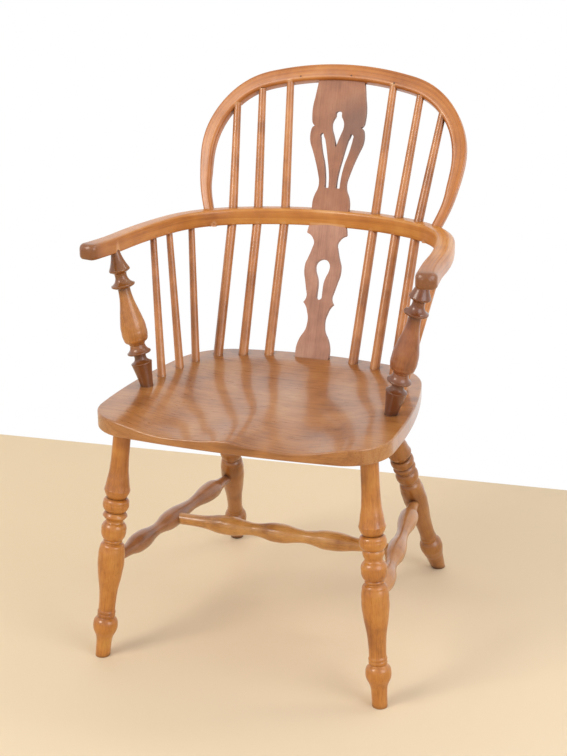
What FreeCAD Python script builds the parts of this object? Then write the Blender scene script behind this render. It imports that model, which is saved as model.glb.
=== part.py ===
import FreeCAD, Part
import math
import os

from FreeCAD import Vector, Rotation

# Double-bow Windsor armchair, in millimetres. X runs across the chair, the sitter faces -Y, Z is up.
# The plan is drawn about the chair's own centre line and slid along Y at the end, so that the
# origin is under the middle of the whole chair, on the floor.

# Seat: a thick plank with a saddled top and a bevelled underside
seat_top = 442.0
seat_thickness = 34.5
seat_front = -239.8
seat_front_arc = (1700.0, 6.1)       # radius and turn in degrees, from the centre line outwards
seat_corner_arc = (77.0, 81.9)
seat_side_arc = (962.0, 15.5)
seat_back_corner_arc = (110.0, 64.4)
seat_bevel_rise = 8.5                # the underside slopes up to the visible lower edge
seat_bevel_width = 24.0
seat_edge_round = 2.5
seat_lower_round = 2.5
bowl_depth = 11.0
bowl_half_width = 196.0
bowl_middle = 20.0                   # where the bowl starts to close towards the back
bowl_back = 148.0
bowl_corner_power = 2.4
bowl_wall_power = 1.6
crease_softness = 0.8
thigh_depth = 4.8
thigh_offset = 118.0
thigh_half_width = 82.0
pommel_rise = 4.7
pommel_half_width = 52.0
saddle_front_start = 70.0            # behind this line the thigh hollows have faded out

# The whole upper part leans a little to the right: shifts in X of the arm bow, of the spindles
# where they pass it, of the hoop, and of the spindles where they meet the hoop
bow_shift = 2.0
spindle_bow_shift = 2.7
hoop_shift = 3.5
spindle_hoop_shift = 3.7

# Legs: turned, raked and splayed, with round tenons in blind sockets under the seat
front_foot = (247.2, -203.6)
front_shoulder = (211.3, -158.2)
back_foot = (208.0, 313.8)
back_shoulder = (143.4, 120.3)
leg_tenon_radius = 12.6
leg_tenon_length = 26.0
leg_top_radius = 14.6
bold_ring = 20.7                     # radius of the middle ring on three of the legs
plain_ring = 17.1                    # and on the front right one, which is turned flatter

# Stretchers: an H, with three swells on each rail
rail_height = 168.0
cross_height = 167.0
cross_station = 15.9
rail_swells = (0.215, 0.465, 0.795)
cross_swells = (0.258, 0.488, 0.716)
swell_radii = (17.0, 17.0)            # of the side rails and of the cross rail
neck_radii = (10.6, 11.2)
end_radii = (8.6, 10.2)
rail_tenon_radius = 7.4
rail_tenon_gap = 5.0                 # from the tenon's end to the axis of the piece it enters
rail_shoulders = (19.0, 13.0)        # from that axis to the shoulder, just under the surface

# Arm bow: one bent rail, level across and sinking a little towards the back. Its plan is drawn
# along the line of the spindles, and it reaches further out from that line than in.
bow_height = 26.0                    # at the arms
bow_crest = 3.0                      # it is this much taller at the back
bow_crest_run = 330.0                # from there forward to where the extra height is gone
bow_inside = 12.0
bow_outside = 19.5
bow_level = 681.6
bow_fall = 0.0275
bow_back = 274.1
bow_arcs = ((333.0, 30.4), (167.0, 45.2), (737.0, 11.5))
arm_length = 107.5
arm_radius = 610.0                   # the arms spread again, the other way about
bow_inner_round = 5.0                # of the top edges
bow_outer_round = 10.0
bow_bottom_round = 2.5
bow_station_gap = 30.0
tip_plan_round = 14.0                # the tips are rounded like a thumb
tip_top_round = 9.0
tip_bottom_round = 7.0
tip_flare = 4.0                      # they widen inwards towards the end
tip_blend = 45.0
tip_stations = (0.4, 1.4, 3.2, 6.0, 10.0, 15.0, 22.0)

# Back hoop: bent in a plane that leans back, thick at the crown and shaved down to its feet
hoop_foot = (207.0, 204.5)
hoop_lean = 29.25
hoop_foot_arc = (337.2, 23.1)
hoop_shoulder_arc = (136.0, 74.2)
hoop_crown_turn = 15.8
hoop_crown_size = (28.0, 20.5)       # across the bend, and from front to back
hoop_side_size = (25.5, 18.5)
hoop_foot_size = (16.6, 13.0)
hoop_outer_reach = (6.3, 10.25, 14.0)  # from the drawn line to the outer face: foot, side, crown
hoop_side_part = 0.42                # where along half of the hoop the side's size is reached
hoop_crown_part = 0.70               # and where the crown's
hoop_bead = 5.5                      # round of the inner front edge
hoop_round = 3.0                     # and of the other edges
hoop_stations = 13
hoop_tail = 26.0                     # drawn on below the feet, to be cut level with the arm bow

# Spindles: (x, y) in the seat, (x, y) in the arm bow, and (x, z) where one meets the hoop
long_spindles = (
    ((79.3, 170.9), (84.0, 265.8), (95.5, 895.8)),
    ((123.5, 156.6), (130.5, 250.0), (146.1, 879.8)),
    ((164.7, 137.8), (171.2, 230.0), (189.6, 854.1)),
)
long_spindle_radii = (8.7, 8.3, 6.6)
short_spindles = (
    ((212.1, -1.3), (257.5, 76.0)),
    ((201.7, 51.2), (249.5, 124.5)),
    ((189.7, 94.6), (228.5, 175.5)),
)
short_spindle_radii = (7.5, 5.7)
spindle_seat_depth = 20.0
spindle_hoop_depth = 13.0

# Arm posts
post_foot = (215.0, -54.7)
post_head = (270.0, -56.0)
post_tenon_radius = 6.8
post_tenon_gap = 6.0                 # from the end of the tenon to the top of the arm
post_foot_tenon_radius = 9.5
post_foot_depth = 22.0

# Splats: thin boards, pierced with a saw, housed in the seat, the arm bow and the hoop
splat_thickness = 9.5
lower_splat_foot = 175.8
lower_splat_head = 265.5
lower_splat_offset = 1.0
upper_splat_foot = 270.5
upper_splat_setback = 2.0            # behind the hoop's middle plane
upper_splat_offset = 3.5
splat_housing = 5.0
crown_housing = 9.0

# Wedges in the hoop's through feet, and the pins: (x, reach above the feet) on the hoop's face,
# and where a pin enters the arm bow and which way it goes
wedge_thickness = 2.6
wedge_depth = 11.0
pin_radius = 1.7
hoop_pins = ((-75.4, 269.5), (18.6, 274.5), (98.7, 264.0))
hoop_pin_depth = 14.0
bow_pins = (((-124.9, 240.7), (-0.56, 0.83), -1.4), ((276.9, 61.3), (-0.80, 0.60), -2.0))
bow_pin_depth = 15.0
pin_excess = 2.0                     # a pin is drawn this much too long and then cut flush
socket_clearance = 1.0

seat_underside = seat_top - seat_thickness


def arc_through(start, end, bow):
    """An edge from start to end that bows sideways by the given amount, to the right if positive."""
    if abs(bow) < 0.01:
        return Part.makeLine(start, end)
    chord = end - start
    side = Vector(chord.y, -chord.x, 0).normalize()
    middle = (start + end) * 0.5 + side * bow
    return Part.Arc(start, middle, end).toShape()


def outline_edges(points):
    """Edges along a list of (x, y, bow), where bow belongs to the edge that ends at the point."""
    edges = []
    for before, after in zip(points, points[1:]):
        start = Vector(before[0], before[1], 0)
        end = Vector(after[0], after[1], 0)
        edges.append(arc_through(start, end, after[2]))
    return edges


def mirrored(shape):
    """The same shape on the other side of the centre plane."""
    return shape.mirror(Vector(0, 0, 0), Vector(1, 0, 0))


def walk_arcs(x, y, heading, arcs):
    """Walks along tangent arcs of (radius, turn in degrees) and returns each arc's data."""
    steps = []
    for radius, turn in arcs:
        side = 1.0 if turn > 0 else -1.0
        angle = math.radians(heading)
        cx = x - side * radius * math.sin(angle)
        cy = y + side * radius * math.cos(angle)
        steps.append((cx, cy, radius, heading, turn))
        heading += turn
        angle = math.radians(heading)
        x = cx + side * radius * math.sin(angle)
        y = cy - side * radius * math.cos(angle)
    return steps, x, y, heading


def point_on(step, part, offset=0.0):
    """The point and heading at a part, 0 to 1, of one arc, moved to the left by an offset."""
    cx, cy, radius, heading, turn = step
    side = 1.0 if turn > 0 else -1.0
    angle = math.radians(heading + turn * part)
    reach = radius - side * offset
    x = cx + side * reach * math.sin(angle)
    y = cy - side * reach * math.cos(angle)
    return Vector(x, y, 0), heading + turn * part


def step_length(step):
    """Length of one arc of a walk."""
    return step[2] * math.radians(abs(step[4]))


def walk_length(steps):
    """Length of a walk of arcs."""
    return sum(step_length(step) for step in steps)


def point_along(steps, distance):
    """The point and heading at a distance along a walk of arcs."""
    for step in steps[:-1]:
        if distance <= step_length(step):
            return point_on(step, distance / step_length(step))
        distance -= step_length(step)
    return point_on(steps[-1], distance / step_length(steps[-1]))


def arc_edge(step, offset=0.0):
    """One arc of a walk as an edge."""
    first = point_on(step, 0.0, offset)[0]
    middle = point_on(step, 0.5, offset)[0]
    last = point_on(step, 1.0, offset)[0]
    return Part.Arc(first, middle, last).toShape()


def turned(profile):
    """A solid of revolution about Z from a list of (height, radius, bow)."""
    points = [(0.0, profile[0][0], 0.0)]
    points += [(radius, height, bow) for height, radius, bow in profile]
    points.append((0.0, profile[-1][0], 0.0))
    edges = outline_edges(points)
    edges.append(Part.makeLine(Vector(0, profile[-1][0], 0), Vector(0, profile[0][0], 0)))
    face = Part.Face(Part.Wire(edges))
    solid = face.revolve(Vector(0, 0, 0), Vector(0, 1, 0), 360)
    solid.rotate(Vector(0, 0, 0), Vector(1, 0, 0), 90)
    return Part.Solid(solid) if solid.ShapeType != "Solid" else solid


def along(shape, start, end):
    """A shape made along Z, moved so that it starts at one point and heads for another."""
    placed = shape.copy()
    turn = Rotation(Vector(0, 0, 1), end - start)
    placed.Placement = FreeCAD.Placement(start, turn).multiply(placed.Placement)
    return placed


def rod(start, end, start_radius, end_radius):
    """A straight round or tapered rod between two points."""
    length = (end - start).Length
    if abs(start_radius - end_radius) < 0.001:
        shape = Part.makeCylinder(start_radius, length)
    else:
        shape = Part.makeCone(start_radius, end_radius, length)
    return along(shape, start, end)


def half_space(height, above):
    """A block that fills everything above or below a level."""
    reach = 2000.0
    base = height if above else height - reach
    return Part.makeBox(2 * reach, 2 * reach, reach, Vector(-reach, -reach, base))


def slab(shape, low, high):
    """What is left of a shape between two levels."""
    return largest(shape.cut(half_space(low, False)).cut(half_space(high, True)))


def largest(shape):
    """The largest solid of a shape, without the scraps that a cut leaves."""
    return max(shape.Solids, key=lambda solid: solid.Volume)


def bow_mid(y):
    """Height of the middle of the arm bow at a given depth."""
    return bow_level - bow_fall * y


def on_bow(place, above=0.0):
    """A point at the middle height of the arm bow, or above it."""
    return Vector(place[0], place[1], bow_mid(place[1]) + above)


def sided(point, side, shift=0.0):
    """A point on the right side, or mirrored to the left, and then moved along X."""
    return Vector(side * point.x + shift, point.y, point.z)


def saddle_height(x, y):
    """Height of the carved top of the seat, above the rim where nothing is carved away."""
    across = abs(x) / bowl_half_width
    back = max(0.0, (y - bowl_middle) / (bowl_back - bowl_middle))
    reach = (across ** bowl_corner_power + back ** bowl_corner_power) ** (1 / bowl_corner_power)
    wall = min(reach ** bowl_wall_power, 1.6)
    depth = bowl_depth * math.cos(math.pi / 2 * wall)
    front = min(1.0, max(0.0, (saddle_front_start - y) / (saddle_front_start - seat_front)))
    fade = front * front * (3 - 2 * front)
    beside = min(1.0, abs(abs(x) - thigh_offset) / thigh_half_width)
    depth += thigh_depth * fade * math.cos(math.pi / 2 * beside) ** 2
    ridge = min(1.0, abs(x) / pommel_half_width)
    depth -= pommel_rise * fade * math.cos(math.pi / 2 * ridge) ** 2
    return seat_top - crease_softness * math.log(1 + math.exp(depth / crease_softness))


def make_seat():
    """The plank: outline, bevel, saddled top. Sockets are cut when the pieces are joined."""
    arcs = (seat_front_arc, seat_corner_arc, seat_side_arc, seat_back_corner_arc)
    steps, x, y, heading = walk_arcs(0.0, seat_front, 0.0, arcs)
    back_turn = 180.0 - heading
    back_radius = x / math.sin(math.radians(back_turn))
    steps += walk_arcs(x, y, heading, [(back_radius, back_turn)])[0]
    right = [arc_edge(step) for step in steps]
    left = [mirrored(edge) for edge in reversed(right)]
    outline = Part.Wire(Part.__sortEdges__(right + left))
    flat = outline.makeOffset2D(-seat_bevel_width)
    flat.translate(Vector(0, 0, seat_underside))
    outline.translate(Vector(0, 0, seat_underside + seat_bevel_rise))
    plank = Part.Face(outline).extrude(Vector(0, 0, seat_thickness))
    plank = plank.fuse(Part.makeLoft([flat, outline], True, True)).removeSplitter()

    places = [-264.0 + 13.2 * i for i in range(41)]
    grid = [[Vector(x, y, saddle_height(x, y)) for x in places] for y in places]
    surface = Part.BSplineSurface()
    surface.interpolate(grid)
    carving = surface.toShape().extrude(Vector(0, 0, 80.0))
    seat = largest(plank.cut(carving))
    top = [f for f in seat.Faces if f.Surface.TypeId == "Part::GeomBSplineSurface"]
    seat = largest(seat.makeFillet(seat_edge_round, top[0].Edges))
    level = seat_underside + seat_bevel_rise
    lower = [e for e in seat.Edges if lies_at(e, level)]
    return largest(seat.makeFillet(seat_lower_round, lower))


def lies_at(edge, level):
    """True for an edge that runs level at a height."""
    box = edge.BoundBox
    return abs(box.ZMin - level) < 0.01 and abs(box.ZMax - level) < 0.01


def leg_profile(length, ring):
    """Profile of a leg from below the floor to above the seat's underside."""
    return [
        (-14.0, 12.0, 0),
        (2.5, 12.6, 0), (28.0, 13.2, -0.2), (43.0, 17.9, -0.9),
        (59.0, 20.7, 1.3), (70.0, 15.4, 1.6), (71.2, 14.3, 0),
        (77.4, 14.5, 0.8), (83.2, 14.5, 0.8), (84.6, 14.1, 0),
        (110.0, 14.9, -0.3), (134.0, 17.9, -0.4), (158.0, 21.3, 0.3),
        (180.0, 22.2, 0.7), (198.0, 20.4, 0.9), (205.4, 16.2, 1.3), (206.6, 15.1, 0),
        (211.4, 15.1, 0.8), (212.6, 16.4, 0),
        (228.5, 20.8, 1.6), (242.5, 15.6, 2.2), (247.0, 14.6, -0.5),
        (254.0, ring, 0.3), (261.6, 16.0, 0.8),
        (277.0, 21.6, 2.6), (285.8, 15.8, 2.2),
        (298.5, 21.5, 0.6), (301.5, 21.4, 0.4), (319.0, 18.4, -0.4), (341.0, 15.6, -0.5),
        (366.0, 14.8, -0.2), (length + 20.0, leg_top_radius, 0),
    ]


def back_leg_profile(length, ring):
    """The same for a back leg: its rings sit higher and closer, and its foot is a plain taper."""
    return [
        (-14.0, 11.8, 0),
        (2.5, 12.7, 0), (37.0, 16.4, 0), (51.0, 19.6, 0.3),
        (65.0, 20.8, 0.9), (76.5, 15.4, 1.6), (77.8, 14.3, 0),
        (83.5, 14.5, 0.8), (89.0, 14.5, 0.8), (90.3, 14.1, 0),
        (120.0, 14.9, -0.3), (149.0, 17.7, -0.4), (179.0, 20.8, 0.3),
        (205.0, 21.6, 0.7), (226.5, 20.0, 0.9), (235.7, 16.2, 1.3), (236.9, 15.1, 0),
        (240.7, 15.1, 0.8), (241.7, 16.4, 0),
        (254.4, 20.8, 1.3), (265.6, 15.6, 1.8), (269.2, 14.6, -0.4),
        (274.8, ring, 0.3), (280.9, 16.0, 0.7),
        (293.2, 21.2, 2.1), (300.2, 15.8, 1.8),
        (310.4, 21.3, 0.5), (312.8, 21.2, 0.3), (328.0, 18.4, -0.4), (347.0, 15.6, -0.4),
        (368.0, 14.8, -0.2), (length + 20.0, leg_top_radius, 0),
    ]


def make_leg(foot, shoulder, ring, profile, seat):
    """A leg cut flat on the floor and fitted against the seat's underside, with its tenon."""
    floor_point = Vector(foot[0], foot[1], 0)
    seat_point = Vector(shoulder[0], shoulder[1], seat_underside)
    direction = (seat_point - floor_point).normalize()
    length = (seat_point - floor_point).Length
    body = along(turned(profile(length, ring)), floor_point, seat_point)
    body = largest(slab(body, 0.0, seat_underside + seat_bevel_rise).cut(seat))
    tenon_end = seat_point + direction * leg_tenon_length
    tenon = rod(seat_point - direction * 30.0, tenon_end, leg_tenon_radius, leg_tenon_radius)
    leg = body.fuse(tenon).removeSplitter()
    socket_end = seat_point + direction * (leg_tenon_length + socket_clearance)
    socket = rod(seat_point - direction * 30.0, socket_end, leg_tenon_radius, leg_tenon_radius)
    return largest(leg), socket


def leg_axis_point(foot, shoulder, height):
    """The point on a leg's axis at a height above the floor."""
    part = height / seat_underside
    x = foot[0] + (shoulder[0] - foot[0]) * part
    y = foot[1] + (shoulder[1] - foot[1]) * part
    return Vector(x, y, height)


def make_rail(start, end, swells, kind):
    """A stretcher between two axes, kind 0 at a side and 1 across, and the sockets it needs."""
    rail_shoulder = rail_shoulders[kind]
    rail_end_radius = end_radii[kind]
    rail_neck_radius = neck_radii[kind]
    swell_radius = swell_radii[kind]
    length = (end - start).Length
    first = rail_tenon_gap
    last = length - rail_tenon_gap
    profile = [(first, rail_tenon_radius - 0.8, 0), (first + 0.8, rail_tenon_radius, 0)]
    profile += [(rail_shoulder, rail_tenon_radius, 0), (rail_shoulder, rail_end_radius, 0)]
    places = [part * length for part in swells]
    before = rail_shoulder
    for index, place in enumerate(places):
        neck = (before + place) / 2 if index else (rail_shoulder + place) * 0.42
        quarter = (place - neck) * 0.5
        if index:
            profile.append((neck, rail_neck_radius, -0.5))
        else:
            profile.append((neck, rail_neck_radius - 0.6, -0.3))
        middle = (rail_neck_radius + swell_radius) / 2
        profile.append((neck + quarter, middle + 0.3, -0.7))
        profile.append((place, swell_radius, 0.9))
        after = places[index + 1] if index + 1 < len(places) else length - rail_shoulder
        next_neck = (place + after) / 2 if index + 1 < len(places) else after - (after - place) * 0.42
        profile.append((place + (next_neck - place) * 0.5, middle + 0.3, 0.9))
        before = place
        if index + 1 == len(places):
            profile.append((next_neck, rail_neck_radius - 0.6, -0.7))
    profile += [(length - rail_shoulder, rail_end_radius, -0.3)]
    profile += [(length - rail_shoulder, rail_tenon_radius, 0)]
    profile += [(last - 0.8, rail_tenon_radius, 0), (last, rail_tenon_radius - 0.8, 0)]
    rail = along(turned(profile), start, end)
    direction = (end - start).normalize()
    bore_start = start + direction * (first - socket_clearance)
    bore_end = end - direction * (first - socket_clearance)
    bore = rod(bore_start, bore_end, rail_tenon_radius, rail_tenon_radius)
    return rail, rail.fuse(bore)


def drawn_in(distance, radius):
    """How far a rounded end has drawn in at a distance from the end."""
    if distance >= radius:
        return 0.0
    return radius - math.sqrt(radius ** 2 - (radius - distance) ** 2)


def bow_section(steps, total, from_tip):
    """The arm bow's section at a distance from the tip of the right arm."""
    place, heading = point_along(steps, total - from_tip)
    angle = math.radians(heading)
    across = Vector(-math.sin(angle), math.cos(angle), 0)
    crest = bow_crest * max(0.0, 1.0 - (bow_back - place.y) / bow_crest_run)
    side = drawn_in(from_tip, tip_plan_round)
    near = max(0.0, 1.0 - from_tip / tip_blend)
    left = -bow_inside - tip_flare * near + side
    right = bow_outside - side
    low = -bow_height / 2 + drawn_in(from_tip, tip_bottom_round)
    high = bow_height / 2 + crest - drawn_in(from_tip, tip_top_round)
    limit = 0.45 * min(right - left, high - low)
    inner = min(limit, bow_inner_round + (tip_top_round - bow_inner_round) * near)
    outer = min(limit, bow_outer_round + (tip_top_round - bow_outer_round) * near)
    under = min(limit, bow_bottom_round + (tip_bottom_round - bow_bottom_round) * near)
    corners = [(left, low, under), (right, low, under), (right, high, outer), (left, high, inner)]
    return place, across, corners


def make_arm_bow():
    """The bent arm rail, lofted from the tip of one arm around the back to the other."""
    arcs = [(radius, -turn) for radius, turn in bow_arcs]
    arcs.append((arm_radius, math.degrees(arm_length / arm_radius)))
    steps = walk_arcs(0.0, bow_back, 0.0, arcs)[0]
    total = walk_length(steps)
    count = round((total - tip_stations[-1]) / bow_station_gap)
    gap = (total - tip_stations[-1]) / count
    places = list(tip_stations) + [tip_stations[-1] + gap * (i + 1) for i in range(count)]
    sections = [bow_section(steps, total, place) for place in places]
    wires = [rounded_section(place, across, Vector(0, 0, 1), corners) for place, across, corners in sections]
    for place, across, corners in reversed(sections[:-1]):
        place = Vector(-place.x, place.y, 0)
        across = Vector(-across.x, across.y, 0)
        wires.append(rounded_section(place, across, Vector(0, 0, 1), corners))
    bow = Part.makeLoft(wires, True, False)
    bow.rotate(Vector(0, 0, 0), Vector(1, 0, 0), -math.degrees(math.atan(bow_fall)))
    bow.translate(Vector(bow_shift, 0, bow_level))
    return largest(bow)


def hoop_point(x, reach):
    """A point in the hoop's leaning plane, at a reach above its feet."""
    lean = math.radians(hoop_lean)
    y = hoop_foot[1] + reach * math.sin(lean)
    z = bow_mid(hoop_foot[1]) + reach * math.cos(lean)
    return Vector(x, y, z)


def hoop_depth(z):
    """Depth of the hoop's middle plane at a height."""
    return hoop_foot[1] + (z - bow_mid(hoop_foot[1])) * math.tan(math.radians(hoop_lean))


def rounded_section(centre, across, through, corners):
    """A closed section from the (u, v, radius) of its four corners."""
    edges = []
    outline = []
    for index, (u, v, radius) in enumerate(corners):
        start = step_towards(u, v, corners[index - 1], radius)
        end = step_towards(u, v, corners[(index + 1) % 4], radius)
        chord_u = (start[0] + end[0]) / 2
        chord_v = (start[1] + end[1]) / 2
        pull = 2 - math.sqrt(2)
        middle = (chord_u + (u - chord_u) * (1 - pull), chord_v + (v - chord_v) * (1 - pull))
        outline.append((start, middle, end))
    for index, (start, middle, end) in enumerate(outline):
        points = [centre + across * p[0] + through * p[1] for p in (start, middle, end)]
        edges.append(Part.Arc(*points).toShape())
        following = outline[(index + 1) % 4][0]
        edges.append(Part.makeLine(points[2], centre + across * following[0] + through * following[1]))
    return Part.Wire(edges)


def step_towards(u, v, other, distance):
    """The point at a distance from a corner of a rectangle, towards a corner beside it."""
    du = other[0] - u
    dv = other[1] - v
    length = math.hypot(du, dv)
    return (u + du / length * distance, v + dv / length * distance)


def hoop_size(part):
    """Width, depth and outer reach of the hoop at a part, 0 at a foot and 1 at the crown."""
    foot = hoop_foot_size + (hoop_outer_reach[0],)
    side = hoop_side_size + (hoop_outer_reach[1],)
    crown = hoop_crown_size + (hoop_outer_reach[2],)
    if part < hoop_side_part:
        t = part / hoop_side_part
        low, high = foot, side
    else:
        t = min(1.0, (part - hoop_side_part) / (hoop_crown_part - hoop_side_part))
        low, high = side, crown
    t = t * t * (3 - 2 * t)
    return tuple(a + (b - a) * t for a, b in zip(low, high))


def hoop_corners(part):
    """The corners of the hoop's section: broad and flat in front, with a bead on its inner edge."""
    width, depth, outside = hoop_size(part)
    inside = outside - width
    bead = min(hoop_bead, 0.33 * width)
    small = min(hoop_round, 0.2 * width)
    return [
        (inside, -depth / 2, bead), (outside, -depth / 2, small),
        (outside, depth / 2, small), (inside, depth / 2, small),
    ]


def hoop_walk():
    """The hoop's drawn line in its own plane: its arcs from the right foot to the crown."""
    arcs = [hoop_foot_arc, hoop_shoulder_arc]
    steps, x, y, heading = walk_arcs(hoop_foot[0], 0.0, 90.0 - hoop_foot_arc[1], arcs)
    crown_radius = x / math.sin(math.radians(hoop_crown_turn))
    return steps + walk_arcs(x, y, heading, [(crown_radius, hoop_crown_turn)])[0]


def make_hoop():
    """The back hoop, lofted along its bend, with its feet running down into the arm bow."""
    steps = hoop_walk()
    total = walk_length(steps)
    lean = math.radians(hoop_lean)
    through = Vector(0, math.cos(lean), -math.sin(lean))
    right = []
    for index in range(hoop_stations):
        part = index / (hoop_stations - 1)
        flat, angle = point_along(steps, total * part)
        outward = math.radians(angle - 90.0)
        right.append((flat.x, flat.y, math.cos(outward), math.sin(outward), part))
    angle = math.radians(90.0 - hoop_foot_arc[1])
    x, y, u, v, part = right[0]
    right.insert(0, (x - hoop_tail * math.cos(angle), y - hoop_tail * math.sin(angle), u, v, part))
    stations = right + [(-x, y, -u, v, part) for x, y, u, v, part in reversed(right[:-1])]
    wires = []
    for x, reach, u, v, part in stations:
        across = Vector(u, v * math.sin(lean), v * math.cos(lean))
        wires.append(rounded_section(hoop_point(x, reach), across, through, hoop_corners(part)))
    hoop = Part.makeLoft(wires, True, False)
    hoop.translate(Vector(hoop_shift, 0, 0))
    return largest(hoop)


def make_long_spindle(index, side):
    """A long spindle: seat, through the arm bow where it bends, and into the hoop."""
    seat_place, bow_place, hoop_place = long_spindles[index]
    seat_radius, bow_radius, hoop_radius = long_spindle_radii
    foot = sided(Vector(seat_place[0], seat_place[1], seat_top), side)
    bend = sided(on_bow(bow_place), side, spindle_bow_shift)
    place = Vector(hoop_place[0], hoop_depth(hoop_place[1]), hoop_place[1])
    head = sided(place, side, spindle_hoop_shift)
    down = (foot - bend).normalize()
    up = (head - bend).normalize()
    foot_end = foot + down * spindle_seat_depth
    head_end = head + up * spindle_hoop_depth
    lower = rod(foot_end, bend, seat_radius, bow_radius)
    upper = rod(bend, head_end, bow_radius, hoop_radius)
    elbow = Part.makeSphere(bow_radius, bend)
    spindle = largest(lower.fuse([upper, elbow]).removeSplitter())
    room_low = rod(foot_end + down * socket_clearance, foot, seat_radius, seat_radius - 0.03)
    room_high = rod(head, head_end + up * socket_clearance, hoop_radius, hoop_radius - 0.03)
    return spindle, room_low, room_high


def make_short_spindle(index, side):
    """A short spindle from the seat to a blind hole under the arm."""
    seat_place, bow_place = short_spindles[index]
    foot = sided(Vector(seat_place[0], seat_place[1], seat_top), side)
    head = sided(on_bow(bow_place), side, bow_shift)
    direction = (head - foot).normalize()
    foot_end = foot - direction * spindle_seat_depth
    spindle = rod(foot_end, head, *short_spindle_radii)
    room_low = rod(foot_end - direction * socket_clearance, foot, short_spindle_radii[0], 7.0)
    room_high = rod(foot, head + direction * socket_clearance, short_spindle_radii[1] - 0.2, 5.3)
    return spindle, room_low, room_high


def post_profile(length):
    """Profile of an arm post from its foot tenon to the end of its tenon in the arm."""
    return [
        (-post_foot_depth, post_foot_tenon_radius - 1.0, 0),
        (-post_foot_depth + 1.0, post_foot_tenon_radius, 0),
        (-2.0, post_foot_tenon_radius, 0), (-2.0, 10.7, 0),
        (3.0, 11.0, 0), (39.0, 17.4, -0.4), (41.5, 17.6, 0.4), (46.5, 11.0, -0.6),
        (52.0, 10.0, -0.3), (56.5, 10.4, 0), (57.5, 19.0, 0.4), (60.5, 19.8, 0.7), (70.5, 13.0, -1.4),
        (72.5, 12.4, 0), (76.5, 14.2, 0.3), (85.0, 20.6, 1.9), (98.0, 21.6, 0.7), (116.0, 19.6, 0.7),
        (140.0, 14.2, 0.2), (163.0, 10.6, -0.5), (172.0, 10.3, 0),
        (174.5, 18.0, 0.6), (178.5, 19.8, 1.0), (187.0, 11.2, -1.3),
        (193.0, 10.0, -0.3), (197.5, 10.6, -0.2), (201.5, 17.0, -0.2), (205.0, 17.3, 0.5),
        (229.0, 8.6, -0.9), (length - bow_height + 1.5, 7.6, 0),
        (length - bow_height + 1.5, post_tenon_radius, 0),
        (length - post_tenon_gap - 1.0, post_tenon_radius, 0),
        (length - post_tenon_gap, post_tenon_radius - 1.0, 0),
    ]


def make_post(side):
    """An arm post with blind tenons, and the room at the end of the upper one."""
    foot = sided(Vector(post_foot[0], post_foot[1], seat_top), side)
    head = sided(on_bow(post_head, bow_height / 2), side, bow_shift)
    length = (head - foot).Length
    end = foot + (head - foot) * ((length - post_tenon_gap) / length)
    up = (head - foot).normalize()
    room = rod(end - up * 2.0, end + up * socket_clearance, post_tenon_radius - 0.03, post_tenon_radius - 0.03)
    return along(turned(post_profile(length)), foot, head), room


def splat_board(right_half, holes, base, head, offset):
    """A pierced board from its right half outline, set up along the line from base to head."""
    left_half = [mirrored(edge) for edge in right_half]
    low = right_half[0].Vertexes[0].Point
    high = right_half[-1].Vertexes[-1].Point
    closing = [
        Part.makeLine(Vector(-low.x, low.y, 0), low),
        Part.makeLine(high, Vector(-high.x, high.y, 0)),
    ]
    board = Part.Face(Part.Wire(Part.__sortEdges__(right_half + left_half + closing)))
    board = board.extrude(Vector(0, 0, splat_thickness))
    for hole in holes:
        tool = Part.Face(Part.Wire(Part.__sortEdges__(hole))).extrude(Vector(0, 0, splat_thickness))
        board = board.cut(tool)
    board.translate(Vector(0, 0, -splat_thickness / 2))
    lean = math.degrees(math.atan2(head.z - base.z, head.y - base.y))
    board.rotate(Vector(0, 0, 0), Vector(1, 0, 0), lean)
    board.translate(base + Vector(offset, 0, 0))
    return largest(board)


def make_lower_splat():
    """Lower splat: ogee outline with a keyhole piercing."""
    base = Vector(0, lower_splat_foot, seat_top)
    head = Vector(0, lower_splat_head, bow_mid(lower_splat_head) - bow_height / 2)
    length = (head - base).Length
    half = outline_edges([
        (31.3, -splat_housing, 0), (31.3, 14.0, 0), (22.7, 40.0, 1.6),
        (16.0, 59.0, -1.6), (18.4, 80.0, -1.5), (28.0, 97.5, -1.6),
        (23.2, 112.0, -1.7), (30.3, 140.0, 0.2), (32.4, 169.0, 2.0),
        (22.6, 199.0, -0.6), (24.0, 212.0, -1.9), (35.6, 221.5, -1.6),
        (36.4, 226.0, 0.8), (34.2, length, 0.3), (34.2, length + splat_housing, 0),
    ])
    keyhole = outline_edges([
        (0.0, 103.8, 0), (5.4, 108.6, 1.5), (5.4, 126.0, 0),
        (9.8, 148.0, -1.2), (13.9, 163.0, 0.9), (0.0, 176.8, 4.1),
    ])
    keyhole = keyhole + [mirrored(edge) for edge in keyhole]
    return splat_board(half, [keyhole], base, head, lower_splat_offset)


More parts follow.
